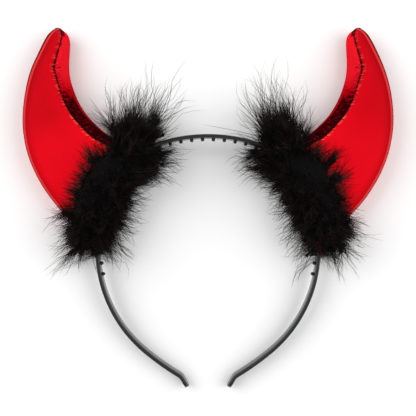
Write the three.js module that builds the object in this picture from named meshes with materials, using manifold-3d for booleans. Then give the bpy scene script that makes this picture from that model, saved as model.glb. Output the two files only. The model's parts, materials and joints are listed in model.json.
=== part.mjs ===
// Devil horns headband: a toothed black plastic hair band that carries two stuffed red horns,
// each with a black feather trim wound round its foot. Millimetres.
// The pieces are shaped as worn: X across the head, Y from front to back, Z up, with the top of
// the band at the origin. The last group then lays the headband on its back, as it rests by itself.
import * as THREE from "three";
import { mergeVertices } from "three/addons/utils/BufferGeometryUtils.js";
import Module from "manifold-3d";

const wasm = await Module();
wasm.setup();

// Hair band
const BAND_SPAN = 119.6;
const BAND_THICKNESS = 2.0;
const BAND_WIDTH = 8.0;
const BAND_CHAMFER = 0.5;
const BAND_TIP_LENGTH = 5.0;
const BAND_TIP_ROUNDING = 3.2;
// The rings of a rounded tip, as shares of its rounding.
const BAND_TIP_RINGS = [0.5, 0.82, 0.97];

// Teeth on the inside of the band
const TOOTH_PITCH = 6.0;
const TOOTH_DIAMETER = 1.8;
const TOOTH_HEIGHT = 1.6;
const TOOTH_REACH = 112.0;
const TOOTH_ROOT = 0.5;
const TOOTH_SIDES = 6;
const TOOTH_TO_FLAT = 0.4;

// Horns
const HORN_SEAT = 62.0;
const HORN_HEIGHT = 87.5;
const HORN_REACH = 34.0;
const HORN_WIDTH = 52.0;
const HORN_DEPTH = 21.0;
const HORN_LEAN = 7.0;
const HORN_PRESS = 1.5;
const SEAM_VALLEY = 1.3;
const SEAM_GATHER = 0.7;
const SEAM_GATHER_PITCH = 8.0;

// Feather trims
const TRIM_OVERHANG = 6.5;
const TRIM_CORE_RADIUS = 13.8;
const TRIM_CORE_DEPTH = 15.5;
const TRIM_RISE = 2.6;
const TRIM_TILT = 0.6;
const TRIM_TAPER = 0.16;
const TRIM_SQUARENESS = 3.5;
const TRIM_CORE_RINGS = 9;
const TRIM_CORE_SIDES = 16;
const TRIM_END_FULLNESS = 0.5;
const TRIM_END_BLUNTNESS = 5;
const LOCK_LENGTH = 9.5;
const LOCK_WIDTH = 7.5;
const LOCK_SPACING = 7.5;
const LOCKS_AROUND = 8;

// Gaps between pieces that touch
const HORN_SEAT_GAP = 0.3;
const TRIM_GAP = 0.3;

// The band's outer edge from the crown down to the arm, as arcs: each radius is a share of the span.
const BAND_ARCS = [
  { stretch: "crown", radius: 0.729, sweep: 12.5 },
  { stretch: "shoulder", radius: 0.415, sweep: 53.4 },
  { stretch: "side", radius: 0.621, sweep: 38.4 },
  { stretch: "lower side", radius: 0.598, sweep: 35.9 },
  { stretch: "arm", radius: 1.234, sweep: 8.6 },
  { stretch: "tip bend", radius: 0.042, sweep: -29.0 },
];

// Horn sections from the tip down to the foot: out and up are the centre's shares of the reach and
// the height from the seat, width and depth are shares of the horn's own, turn is the direction
// from the convex to the concave edge, and roll turns the concave side to the front, in degrees.
const HORN_SECTIONS = [
  { out: 0.885, up: 0.985, width: 0.06, depth: 0.2, turn: 182, roll: 9 },
  { out: 0.876, up: 0.96, width: 0.135, depth: 0.43, turn: 182, roll: 9 },
  { out: 0.894, up: 0.915, width: 0.2, depth: 0.57, turn: 185, roll: 9 },
  { out: 0.962, up: 0.798, width: 0.272, depth: 0.72, turn: 187, roll: 9 },
  { out: 1.005, up: 0.69, width: 0.349, depth: 0.83, turn: 183, roll: 9 },
  { out: 0.997, up: 0.57, width: 0.452, depth: 0.93, turn: 178, roll: 10 },
  { out: 0.938, up: 0.444, width: 0.568, depth: 0.99, turn: 172.5, roll: 11 },
  { out: 0.83, up: 0.329, width: 0.69, depth: 1.0, turn: 165, roll: 11 },
  { out: 0.67, up: 0.217, width: 0.794, depth: 0.96, turn: 156, roll: 11 },
  { out: 0.445, up: 0.118, width: 0.906, depth: 0.87, turn: 148, roll: 9 },
  { out: 0.177, up: 0.027, width: 0.989, depth: 0.76, turn: 139, roll: 7 },
  { out: -0.12, up: -0.077, width: 1.0, depth: 0.62, turn: 130, roll: 4 },
  { out: -0.42, up: -0.2, width: 0.9, depth: 0.5, turn: 122, roll: 2 },
];
const HORN_RINGS_PER_SECTION = 3;

// The outline of a horn section: across and through are shares of the half width and half depth.
// Across -1 is the convex edge, through -1 is the front; seam is how far the stitched seam draws
// a point in, and gather how far the puckers beside it move it.
const HORN_OUTLINE = [
  { across: -0.93, through: -0.84, seam: 0, gather: 0 },
  { across: -0.5, through: -0.99, seam: 0, gather: 0 },
  { across: 0.0, through: -1.04, seam: 0, gather: 0 },
  { across: 0.5, through: -1.02, seam: 0, gather: 0.3 },
  { across: 0.8, through: -0.96, seam: 0, gather: 1 },
  { across: 0.88, through: -0.86, seam: 1, gather: 0 },
  { across: 0.97, through: -0.7, seam: 0, gather: 1 },
  { across: 1.04, through: -0.1, seam: 0, gather: 0.4 },
  { across: 1.02, through: 0.7, seam: 0, gather: 0 },
  { across: 0.9, through: 0.93, seam: 0, gather: 0 },
  { across: 0.45, through: 1.02, seam: 0, gather: 0 },
  { across: -0.45, through: 1.02, seam: 0, gather: 0 },
  { across: -0.92, through: 0.86, seam: 0, gather: 0 },
  { across: -1.0, through: 0.0, seam: 0, gather: 0 },
];

// A lock of feather barbs along its length: how far along and out of line, and its share of width.
const LOCK_RINGS = [
  { along: -0.35, droop: 0, width: 1.0 },
  { along: 0.45, droop: 0.1, width: 0.66 },
];
const LOCK_SIDES = 4;
const LOCK_DROOP = 0.22;
const LOCK_TIP_RADIUS = 0.3;
const LOCK_LENGTH_SPREAD = 0.35;
const LOCK_SLANT = 0.5;
const LOCK_FAN = 1.6;
const LOCK_SWING = 0.25;
const LOCK_SHUFFLE = 0.5;
const LOCK_ROOT = 0.92;
// The left trim's locks are numbered from here, so that they fall in another way than the right's.
const LEFT_LOCKS_FROM = 500;
// No lock stands at the trim's back, three quarters of a turn round, where it is pressed flat.
const LOCKS_PRESSED_AT = 0.75;
const LOCKS_PRESSED_SPAN = 0.13;

const COLOURS = {
  plastic: { color: 0x17181a, roughness: 0.3, metalness: 0 },
  satin: { color: 0xcf0a1c, roughness: 0.42, metalness: 0 },
  feather: { color: 0x0b0909, roughness: 0.9, metalness: 0 },
};

const radians = THREE.MathUtils.degToRad;
const FULL_TURN = 2 * Math.PI;
const SAME_POINT = 1e-4;
const SHORTEST_FACET = 1.0;

// Solids and geometry

function solidFrom(geometry) {
  const positions = new THREE.BufferGeometry();
  positions.setAttribute("position", geometry.getAttribute("position"));
  if (geometry.index) positions.setIndex(geometry.index);
  const merged = mergeVertices(positions, SAME_POINT);
  return new wasm.Manifold(
    new wasm.Mesh({
      numProp: 3,
      vertProperties: new Float32Array(merged.attributes.position.array),
      triVerts: new Uint32Array(merged.index.array),
    }),
  );
}

function geometryFrom(solid) {
  const mesh = solid.getMesh();
  const geometry = new THREE.BufferGeometry();
  geometry.setAttribute("position", new THREE.BufferAttribute(mesh.vertProperties, 3));
  geometry.setIndex(new THREE.BufferAttribute(mesh.triVerts, 1));
  geometry.computeVertexNormals();
  return geometry;
}

// A closed skin through rings of equally many points, with a flat fan over each end.
function loft(rings) {
  const count = rings[0].length;
  const centres = [rings[0], rings[rings.length - 1]].map((ring) =>
    ring.reduce((sum, p) => sum.add(p), new THREE.Vector3()).divideScalar(count),
  );
  const points = [...rings.flat(), ...centres];
  const first = points.length - 2;
  const last = points.length - 1;
  const faces = [];
  for (let k = 0; k < count; k += 1) {
    const next = (k + 1) % count;
    const end = (rings.length - 1) * count;
    faces.push(first, next, k);
    faces.push(last, end + k, end + next);
    for (let r = 0; r + 1 < rings.length; r += 1) {
      const a = r * count;
      const b = a + count;
      faces.push(a + k, a + next, b + next);
      faces.push(a + k, b + next, b + k);
    }
  }
  const geometry = new THREE.BufferGeometry().setFromPoints(points);
  geometry.setIndex(faces);
  const solid = solidFrom(geometry);
  if (solid.volume() >= 0) return solid;
  const turned = [];
  for (let i = 0; i < faces.length; i += 3) turned.push(faces[i], faces[i + 2], faces[i + 1]);
  geometry.setIndex(turned);
  return solidFrom(geometry);
}

// The largest body of a solid: a cut can leave a loose snip of a lock behind.
function largestBody(solid) {
  const bodies = solid.decompose();
  return bodies.reduce((a, b) => (b.volume() > a.volume() ? b : a));
}

// A repeatable number from 0 to 1 for each number given, to vary one lock from the next.
const SCATTER = { step: 127.1, start: 11.7, spread: 43758.5453 };

function varied(index) {
  const wave = Math.sin(index * SCATTER.step + SCATTER.start) * SCATTER.spread;
  return wave - Math.floor(wave);
}

// Hair band

// The arcs laid end to end from the crown: where each begins, its heading below level, its bend.
const bandStretches = [];
{
  let x = 0;
  let z = 0;
  let heading = 0;
  let begins = 0;
  for (const { radius, sweep } of BAND_ARCS) {
    const bend = Math.sign(sweep) / (radius * BAND_SPAN);
    const length = radians(sweep) / bend;
    bandStretches.push({ begins, x, z, heading, bend, length });
    const turned = heading + radians(sweep);
    x += (Math.sin(turned) - Math.sin(heading)) / bend;
    z += (Math.cos(turned) - Math.cos(heading)) / bend;
    heading = turned;
    begins += length;
  }
  bandStretches.push({ begins, x, z, heading, bend: 0, length: BAND_TIP_LENGTH });
}
const BAND_HALF_LENGTH = bandStretches.reduce((sum, stretch) => sum + stretch.length, 0);

// A place on the band's outer edge, that many millimetres along it from the crown; the left half
// has negative places. Out points away from the head, and along runs from left to right.
function bandPlace(along) {
  const side = along < 0 ? -1 : 1;
  const distance = Math.abs(along);
  const stretch = bandStretches.findLast((s) => s.begins <= distance);
  const rest = distance - stretch.begins;
  const heading = stretch.heading + stretch.bend * rest;
  let x = stretch.x + Math.cos(stretch.heading) * rest;
  let z = stretch.z - Math.sin(stretch.heading) * rest;
  if (stretch.bend !== 0) {
    x = stretch.x + (Math.sin(heading) - Math.sin(stretch.heading)) / stretch.bend;
    z = stretch.z + (Math.cos(heading) - Math.cos(stretch.heading)) / stretch.bend;
  }
  return {
    point: new THREE.Vector3(side * x, 0, z),
    out: new THREE.Vector3(side * Math.sin(heading), 0, Math.cos(heading)),
    along: new THREE.Vector3(Math.cos(heading), 0, -side * Math.sin(heading)),
  };
}

// One section of the band: a flat strip with chamfered edges, from outer face to inner face.
function bandSection(along, outer, inner, halfWidth, chamfer) {
  const { point, out } = bandPlace(along);
  const corners = [
    [outer, halfWidth - chamfer],
    [outer - chamfer, halfWidth],
    [inner + chamfer, halfWidth],
    [inner, halfWidth - chamfer],
    [inner, chamfer - halfWidth],
    [inner + chamfer, -halfWidth],
    [outer - chamfer, -halfWidth],
    [outer, chamfer - halfWidth],
  ];
  return corners.map(([rise, y]) => point.clone().addScaledVector(out, rise).setY(y));
}

// The flat in the middle of the crown, clear of the teeth on both sides of it.
const CROWN_FLAT = TOOTH_PITCH - TOOTH_DIAMETER - 2 * TOOTH_TO_FLAT;

// Places along the band from one end to the other: at every tooth and round the crown's flat.
function bandPlaces(from, to) {
  const places = [-CROWN_FLAT / 2, CROWN_FLAT / 2];
  const first = Math.ceil(from / TOOTH_PITCH - 0.5) + 0.5;
  for (let step = first; step * TOOTH_PITCH < to; step += 1) places.push(step * TOOTH_PITCH);
  const between = places.filter((along) => along - from > SHORTEST_FACET && to - along > SHORTEST_FACET);
  return [from, ...between.sort((a, b) => a - b), to];
}

// The strip with its two ends rounded in the width.
function roundedBand() {
  const rounding = BAND_TIP_ROUNDING;
  const flatEnd = BAND_HALF_LENGTH - rounding;
  const ending = BAND_TIP_RINGS.map((share) => ({
    along: flatEnd + rounding * share,
    inset: rounding * (1 - Math.sqrt(1 - share ** 2)),
  }));
  const taper = ({ along, inset }, side) =>
    bandSection(side * along, 0, -BAND_THICKNESS, BAND_WIDTH / 2 - inset, BAND_CHAMFER);
  const rings = [
    ...[...ending].reverse().map((end) => taper(end, -1)),
    ...bandPlaces(-flatEnd, flatEnd).map((along) => taper({ along, inset: 0 }, 1)),
    ...ending.map((end) => taper(end, 1)),
  ];
  return loft(rings);
}

// A peg with a domed head, standing inwards from the band's inner face.
function toothAt(along) {
  const radius = TOOTH_DIAMETER / 2;
  const shoulder = TOOTH_HEIGHT - radius;
  const profile = [
    new THREE.Vector2(0, -TOOTH_ROOT),
    new THREE.Vector2(radius, -TOOTH_ROOT),
    new THREE.Vector2(radius, shoulder),
    new THREE.Vector2(radius * Math.SQRT1_2, shoulder + radius * Math.SQRT1_2),
    new THREE.Vector2(0, TOOTH_HEIGHT),
  ];
  const peg = new THREE.LatheGeometry(profile, TOOTH_SIDES);
  const { point, out } = bandPlace(along);
  const inwards = out.clone().negate();
  peg.applyQuaternion(new THREE.Quaternion().setFromUnitVectors(new THREE.Vector3(0, 1, 0), inwards));
  const root = point.clone().addScaledVector(inwards, BAND_THICKNESS);
  peg.translate(root.x, root.y, root.z);
  return solidFrom(peg);
}

function toothedBand() {
  let band = roundedBand();
  for (let along = TOOTH_PITCH / 2; along < TOOTH_REACH; along += TOOTH_PITCH) {
    band = band.add(toothAt(along)).add(toothAt(-along));
  }
  return band;
}

// Horns

// A column of the horn's section table at any place between its rows, on a smooth curve.
function hornValue(column, place) {
  const rows = HORN_SECTIONS;
  const at = (index) => rows[THREE.MathUtils.clamp(index, 0, rows.length - 1)][column];
  const row = Math.min(Math.floor(place), rows.length - 2);
  const t = place - row;
  const [before, from, to, after] = [row - 1, row, row + 1, row + 2].map(at);
  const leave = (to - before) / 2;
  const arrive = (after - from) / 2;
  const squared = t * t;
  const cubed = squared * t;
  return (
    from * (2 * cubed - 3 * squared + 1) +
    leave * (cubed - 2 * squared + t) +
    to * (3 * squared - 2 * cubed) +
    arrive * (cubed - squared)
  );
}

// One ring of the horn on the given side, grown outwards by a gap, with its seam and gathers.
function hornRing(side, place, grow, gathered) {
  const seat = bandPlace(HORN_SEAT).point;
  const up = hornValue("up", place) * HORN_HEIGHT;
  const centre = new THREE.Vector3(
    seat.x + hornValue("out", place) * HORN_REACH,
    Math.tan(radians(HORN_LEAN)) * up,
    seat.z + up,
  );
  const halfWidth = (hornValue("width", place) * HORN_WIDTH) / 2;
  const halfDepth = (hornValue("depth", place) * HORN_DEPTH) / 2;
  const turn = radians(hornValue("turn", place));
  const roll = radians(hornValue("roll", place));
  const flat = new THREE.Vector3(Math.cos(turn), 0, Math.sin(turn));
  const back = new THREE.Vector3(0, 1, 0);
  const across = flat.clone().multiplyScalar(Math.cos(roll)).addScaledVector(back, -Math.sin(roll));
  const through = back.clone().multiplyScalar(Math.cos(roll)).addScaledVector(flat, Math.sin(roll));
  const fullness = Math.min(1, halfDepth / (HORN_DEPTH / 2));
  return HORN_OUTLINE.map((mark) => {
    const away = new THREE.Vector2(mark.across, mark.through).normalize();
    const drawn = mark.seam * SEAM_VALLEY + mark.gather * gathered * SEAM_GATHER;
    const rise = grow - drawn * fullness;
    const point = centre
      .clone()
      .addScaledVector(across, mark.across * halfWidth + away.x * rise)
      .addScaledVector(through, mark.through * halfDepth + away.y * rise);
    point.x *= side;
    return point;
  });
}

function hornBody(side, grow) {
  const steps = (HORN_SECTIONS.length - 1) * HORN_RINGS_PER_SECTION;
  const rings = [];
  for (let step = 0; step <= steps; step += 1) {
    const place = step / HORN_RINGS_PER_SECTION;
    const wave = Math.sin((place * HORN_HEIGHT * FULL_TURN) / (HORN_SECTIONS.length * SEAM_GATHER_PITCH));
    rings.push(hornRing(side, place, grow, grow === 0 ? wave : 0));
  }
  return loft(rings);
}

// All that lies inside the band's outer face and a rise beyond it: the horn's foot is cut to it.
function bandInside(side, rise) {
  const depth = HORN_DEPTH * 2;
  const far = HORN_WIDTH / 2;
  const places = bandPlaces(0, BAND_HALF_LENGTH - BAND_TIP_LENGTH - 2 * TOOTH_PITCH);
  return loft(places.map((along) => bandSection(side * along, rise, -far, depth, 0)));
}

// The horn as it stands on the band, before its back is pressed flat by what it rests on.
function standingHorn(side) {
  return largestBody(hornBody(side, 0).subtract(bandInside(side, HORN_SEAT_GAP)));
}

// The room that a trim leaves for the horn's foot, down into the room that it leaves for the band.
function hornRoom(side) {
  const room = hornBody(side, TRIM_GAP + SEAM_GATHER);
  return room.subtract(bandInside(side, -BAND_THICKNESS / 2));
}

// Feather trims

// The trim's middle line runs just outside the band, past both ends of the horn's foot: it rises
// a little towards the band's arm.
const FOOT_HALF_LENGTH = HORN_WIDTH / 2;
const TRIM_HALF_LENGTH = FOOT_HALF_LENGTH + TRIM_OVERHANG;

function trimPlace(side, offset) {
  const place = bandPlace(side * (HORN_SEAT + offset));
  const rise = TRIM_RISE + (TRIM_TILT * offset) / TRIM_HALF_LENGTH;
  return { ...place, point: place.point.clone().addScaledVector(place.out, rise) };
}

// A direction round the trim's middle line: 0 is away from the head, a quarter turn is the front.
function trimDirection(place, angle) {
  return place.out.clone().multiplyScalar(Math.cos(angle)).setY(-Math.sin(angle));
}

// How full the trim is along its length: drawn in at both ends, and slimmer towards the band's arm.
function trimFullness(share) {
  const slimmer = 1 - (TRIM_TAPER * (1 + share)) / 2;
  return slimmer * Math.max(TRIM_END_FULLNESS, Math.sqrt(1 - Math.abs(share) ** TRIM_END_BLUNTNESS));
}

// From the trim's middle line out to the skin of its core, which is between an oval and an oblong.
function coreReach(direction, share) {
  const radii = new THREE.Vector3(TRIM_CORE_RADIUS, TRIM_CORE_DEPTH, TRIM_CORE_RADIUS);
  const forward = Math.abs(direction.y);
  const sideways = Math.hypot(direction.x, direction.z);
  const squared = (forward ** TRIM_SQUARENESS + sideways ** TRIM_SQUARENESS) ** (1 / TRIM_SQUARENESS);
  return direction.clone().multiply(radii).multiplyScalar(trimFullness(share) / squared);
}

function trimCore(side) {
  const rings = [];
  for (let row = 0; row <= TRIM_CORE_RINGS; row += 1) {
    const share = (2 * row) / TRIM_CORE_RINGS - 1;
    const place = trimPlace(side, share * TRIM_HALF_LENGTH);
    const ring = Array.from({ length: TRIM_CORE_SIDES }, (_, k) => {
      const direction = trimDirection(place, (k / TRIM_CORE_SIDES) * FULL_TURN);
      return place.point.clone().add(coreReach(direction, share));
    });
    rings.push(ring);
  }
  return loft(rings);
}

function ringAround(centre, sideways, upwards, radius) {
  return Array.from({ length: LOCK_SIDES }, (_, k) => {
    const angle = (k / LOCK_SIDES) * FULL_TURN;
    return centre
      .clone()
      .addScaledVector(sideways, radius * Math.cos(angle))
      .addScaledVector(upwards, radius * Math.sin(angle));
  });
}

// One tapered lock that stands out of the core at a place, bent towards its slant.
function lock(root, direction, bendTo, length) {
  const sideways = new THREE.Vector3().crossVectors(direction, bendTo).normalize();
  const upwards = new THREE.Vector3().crossVectors(sideways, direction).normalize();
  const rings = LOCK_RINGS.map(({ along, droop, width }) => {
    const centre = root
      .clone()
      .addScaledVector(direction, along * length)
      .addScaledVector(upwards, droop * LOCK_DROOP * length);
    return ringAround(centre, sideways, upwards, (width * LOCK_WIDTH) / 2);
  });
  const tip = root
    .clone()
    .addScaledVector(direction, length)
    .addScaledVector(upwards, LOCK_DROOP * length);
  rings.push(ringAround(tip, sideways, upwards, LOCK_TIP_RADIUS));
  return loft(rings);
}

function trimLocks(side) {
  const locks = [];
  const rows = Math.max(2, Math.round((2 * TRIM_HALF_LENGTH) / LOCK_SPACING));
  let index = side > 0 ? 0 : LEFT_LOCKS_FROM;
  for (let row = 0; row <= rows; row += 1) {
    const share = (2 * row) / rows - 1;
    for (let k = 0; k < LOCKS_AROUND; k += 1) {
      index += 1;
      const turn = (k + (row % 2) / 2) / LOCKS_AROUND;
      if (Math.abs(turn - LOCKS_PRESSED_AT) < LOCKS_PRESSED_SPAN) continue;
      const [shuffle, swing, slant, spread] = [0, 0.5, 0.25, 0.75].map((draw) => varied(index + draw) - 0.5);
      const offset = share * TRIM_HALF_LENGTH + shuffle * LOCK_SHUFFLE * LOCK_SPACING;
      const place = trimPlace(side, offset);
      const direction = trimDirection(place, turn * FULL_TURN + swing * LOCK_SWING);
      const root = place.point.clone().addScaledVector(coreReach(direction, share), LOCK_ROOT);
      direction.addScaledVector(place.along, side * (share * LOCK_FAN + slant) * LOCK_SLANT).normalize();
      const length = LOCK_LENGTH * (1 + 2 * spread * LOCK_LENGTH_SPREAD);
      locks.push(lock(root, direction, place.along, length));
    }
  }
  return locks;
}

// The room that a trim leaves for the band and its teeth, past both ends of the trim.
function bandRoom(side) {
  const reach = TRIM_HALF_LENGTH + LOCK_LENGTH + TOOTH_PITCH;
  const inner = -BAND_THICKNESS - TOOTH_HEIGHT - TRIM_GAP;
  const halfWidth = BAND_WIDTH / 2 + TRIM_GAP;
  const places = bandPlaces(HORN_SEAT - reach, HORN_SEAT + reach);
  return loft(places.map((along) => bandSection(side * along, TRIM_GAP, inner, halfWidth, 0)));
}

// The trim round the foot of a horn, with room for the horn, the band and the band's teeth.
function looseTrim(side) {
  let trim = trimCore(side);
  for (const one of trimLocks(side)) trim = trim.add(one);
  return trim.subtract(hornRoom(side)).subtract(bandRoom(side));
}

// Resting on its back

// Seen from the side, the back of the headband touches the floor at two places: the hull edge of
// its back that passes behind the balance point. The soft horns give a little where they touch.
// Returns that edge as a plane and its slope.
function restingPlaneOf(geometries, balanceZ) {
  const points = geometries.flatMap((geometry) => {
    const position = geometry.getAttribute("position");
    return Array.from({ length: position.count }, (_, i) => [position.getZ(i), position.getY(i)]);
  });
  points.sort((a, b) => a[0] - b[0] || a[1] - b[1]);
  const hull = [];
  const bends = ([az, ay], [bz, by], [cz, cy]) => (bz - az) * (cy - ay) - (by - ay) * (cz - az) >= 0;
  for (const point of points) {
    while (hull.length > 1 && bends(hull[hull.length - 2], hull[hull.length - 1], point)) hull.pop();
    hull.push(point);
  }
  const above = hull.findIndex(([z]) => z > balanceZ);
  const [lowZ, lowY] = hull[above - 1];
  const [highZ, highY] = hull[above];
  return { y: lowY, z: lowZ, slope: Math.atan2(highY - HORN_PRESS - lowY, highZ - lowZ) };
}

// What lies behind the resting plane: the soft pieces are pressed flat against it.
function behind(restingPlane) {
  const size = 4 * BAND_SPAN;
  const box = new THREE.BoxGeometry(size, size, size);
  box.translate(0, size / 2, 0);
  box.rotateX(-restingPlane.slope);
  box.translate(0, restingPlane.y, restingPlane.z);
  return solidFrom(box);
}

function meshOf(name, geometry, finish) {
  const mesh = new THREE.Mesh(geometry, new THREE.MeshStandardMaterial(COLOURS[finish]));
  mesh.name = name;
  return mesh;
}

const bandGeometry = geometryFrom(toothedBand());
const balanceZ = bandPlace(HORN_SEAT).point.z;
const restingPlane = restingPlaneOf([bandGeometry, geometryFrom(standingHorn(1))], balanceZ);
const floor = behind(restingPlane);

const worn = new THREE.Group();
worn.add(meshOf("hair_band", bandGeometry, "plastic"));
for (const [name, side] of [
  ["left", -1],
  ["right", 1],
]) {
  const horn = standingHorn(side).subtract(floor);
  const trim = largestBody(looseTrim(side).subtract(floor));
  worn.add(meshOf(`horn_${name}`, geometryFrom(horn), "satin"));
  worn.add(meshOf(`feather_trim_${name}`, geometryFrom(trim), "feather"));
}

// Lay the worn form on its back, front up and horn tips towards +Y, then centre it on the floor.
worn.rotation.x = restingPlane.slope - Math.PI / 2;
const headband = new THREE.Group();
headband.add(worn);
headband.updateMatrixWorld(true);
const bounds = new THREE.Box3().setFromObject(headband, true);
worn.position.set(
  -(bounds.min.x + bounds.max.x) / 2,
  -(bounds.min.y + bounds.max.y) / 2,
  -bounds.min.z,
);

export default headband;
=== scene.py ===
import json
import math

import bmesh
import bpy
import numpy as np
from mathutils import Matrix, Vector, noise
from mathutils.bvhtree import BVHTree
from mathutils.kdtree import KDTree


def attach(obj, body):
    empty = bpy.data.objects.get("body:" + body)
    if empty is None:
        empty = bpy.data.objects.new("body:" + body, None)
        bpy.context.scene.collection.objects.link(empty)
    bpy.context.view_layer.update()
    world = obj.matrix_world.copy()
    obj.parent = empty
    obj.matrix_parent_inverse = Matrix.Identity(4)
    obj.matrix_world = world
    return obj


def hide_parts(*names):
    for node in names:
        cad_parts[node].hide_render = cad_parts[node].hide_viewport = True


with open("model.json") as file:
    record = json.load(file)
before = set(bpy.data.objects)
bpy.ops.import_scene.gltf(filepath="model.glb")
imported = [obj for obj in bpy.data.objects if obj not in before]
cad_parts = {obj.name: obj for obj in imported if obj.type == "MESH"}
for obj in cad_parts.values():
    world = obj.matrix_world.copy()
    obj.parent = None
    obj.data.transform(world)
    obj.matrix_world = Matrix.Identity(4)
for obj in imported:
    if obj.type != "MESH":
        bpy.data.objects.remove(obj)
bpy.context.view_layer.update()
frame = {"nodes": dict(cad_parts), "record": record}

# Sizes in millimetres, as worn: X across the head, Y to the back, Z up, top of the band at zero.
BAND_SPAN = 119.6
BAND_THICKNESS = 2.0
BAND_WIDTH = 8.0
BAND_ROUNDING = 0.55
BAND_TIP_LENGTH = 5.0
BAND_TIP_ROUNDING = 3.2
# Radius as a share of the span, and sweep in degrees, from the crown to the tip.
BAND_ARCS = [(0.729, 12.5), (0.415, 53.4), (0.621, 38.4), (0.598, 35.9), (1.234, 8.6), (0.042, -29.0)]
TOOTH_PITCH = 6.0
TOOTH_RADIUS = 0.9
TOOTH_HEIGHT = 1.6
TOOTH_DOME = 0.7
TOOTH_ROOT = 0.3
TOOTH_REACH = 112.0

HORN_SEAT = 62.0
HORN_HEIGHT = 87.5
HORN_REACH = 34.0
HORN_WIDTH = 52.0
HORN_DEPTH = 21.0
HORN_LEAN = 7.0
HORN_GAP = 0.3
HORN_TIP_DOME = 0.7
HORN_FOOT_FROM = 45.0
SEAM_VALLEY = 1.3
PUCKER_RISE = 0.6
PLEAT_RISE = 0.55
# The pleats begin this far down the horn and grow over so much.
PLEATS_FROM = 24.0
PLEATS_GROW_OVER = 16.0
LUMP_RISE = 0.25
RING_STEP = 0.3
FLOOR_SOFTNESS = 0.0003
# Out, up, width, depth, turn and roll, from the tip to the foot.
HORN_SECTIONS = np.array([
    (0.885, 0.985, 0.06, 0.2, 182, 9),
    (0.876, 0.96, 0.135, 0.43, 182, 9),
    (0.894, 0.915, 0.2, 0.57, 185, 9),
    (0.962, 0.798, 0.272, 0.72, 187, 9),
    (1.005, 0.69, 0.349, 0.83, 183, 9),
    (0.997, 0.57, 0.452, 0.93, 178, 10),
    (0.938, 0.444, 0.568, 0.99, 172.5, 11),
    (0.83, 0.329, 0.69, 1.0, 165, 11),
    (0.67, 0.217, 0.794, 0.96, 156, 11),
    (0.445, 0.118, 0.906, 0.87, 148, 9),
    (0.177, 0.027, 0.989, 0.76, 139, 7),
    (-0.12, -0.077, 1.0, 0.62, 130, 4),
    (-0.42, -0.2, 0.9, 0.5, 122, 2),
])
# Across and through, round a section from the front of the convex edge.
HORN_OUTLINE = np.array([
    (-0.93, -0.84), (-0.5, -0.99), (0.0, -1.04), (0.5, -1.02), (0.8, -0.96), (0.88, -0.86),
    (0.97, -0.7), (1.04, -0.1), (1.02, 0.7), (0.9, 0.93), (0.45, 1.02), (-0.45, 1.02),
    (-0.92, 0.86), (-1.0, 0.0),
])
# How far down the horn, and where on the outline the gathered seam and the edge seam run there.
SEAM_COURSE = [
    (0, 4.4), (5, 4.9), (9, 4.2), (13, 3.6), (23, 3.15), (33, 4.0), (40, 4.45), (50, 4.8), (60, 5.0),
]
EDGE_COURSE = [(0, 14.0), (30, 13.95), (60, 13.85), (80, 13.75), (104, 13.55)]
MARKS_ROUND = len(HORN_OUTLINE)
# The marks that the gathered strip lies between.
GATHERED_MARKS = (3.0, 9.5)
# What each point of a horn keeps for its satin.
HORN_MARKS = ("seam", "seam_side", "edge", "edge_side", "outline", "far")

STITCH_LENGTH = 1.5
STITCH_GAP = 0.45
STITCH_THICKNESS = 0.78
STITCHES_END = 78.0
TICK_THICKNESS = 0.42
KNOT_AT = 23.0
KNOT_THICKNESS = 0.7
KNOT_TAIL_THICKNESS = 0.5

TRIM_HALF_LENGTH = 32.5
TRIM_RISE = 2.6
TRIM_TILT = 0.6
CORE_VOXEL = 2.2
BARBS_PER_TRIM = 17000
CLUMPS_PER_TRIM = 380
DRAPES_PER_TRIM = 1700
WISPS_PER_TRIM = 1500
QUILLS_PER_TRIM = 12
# The shortest reach of a clump's barbs, and the thickness left at a barb's last ring.
BARB_REACH = 6.5
BARB_TAPER = 0.55
HORN_NEARNESS = 12.0
# In metres above the floor: where barbs are held down and pressed up, and how softly.
FLUFF_CEILING = 0.044
CEILING_GIVE = 0.0035
FLOOR_GIVE = 0.0022
FLOOR_CLEARANCE = 0.0002
DOWN_SHRINK = 0.0014
DOWN_RUFFLE = 0.0007

CAMERA_DISTANCE = 394.0
CAMERA_DROP = 39.27
CAMERA_LENS = 63.7

# How the worn form lies: the crown's outer face gives the way up and the place of the band's top.
CROWN_MARK_BACK = 1.2
CROWN_MARK_DROP = 0.0166
crown_face = next(m for m in frame["record"]["mounts"] if m["name"] == "crown_outer_face")
worn_up = Vector(crown_face["axis"]).normalized()
worn_back = Vector((0, worn_up.z, -worn_up.y))
worn_top = Vector(crown_face["pos_m"]) + (worn_up * CROWN_MARK_DROP - worn_back * CROWN_MARK_BACK) * 0.001
turned = Matrix((Vector((1, 0, 0)), worn_back, worn_up)).transposed().to_4x4()
WORN_TO_ROW = Matrix.Translation(worn_top) @ turned @ Matrix.Scale(0.001, 4)
ROW_TO_WORN = WORN_TO_ROW.inverted()

chance = np.random.default_rng(19)


# Materials

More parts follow.
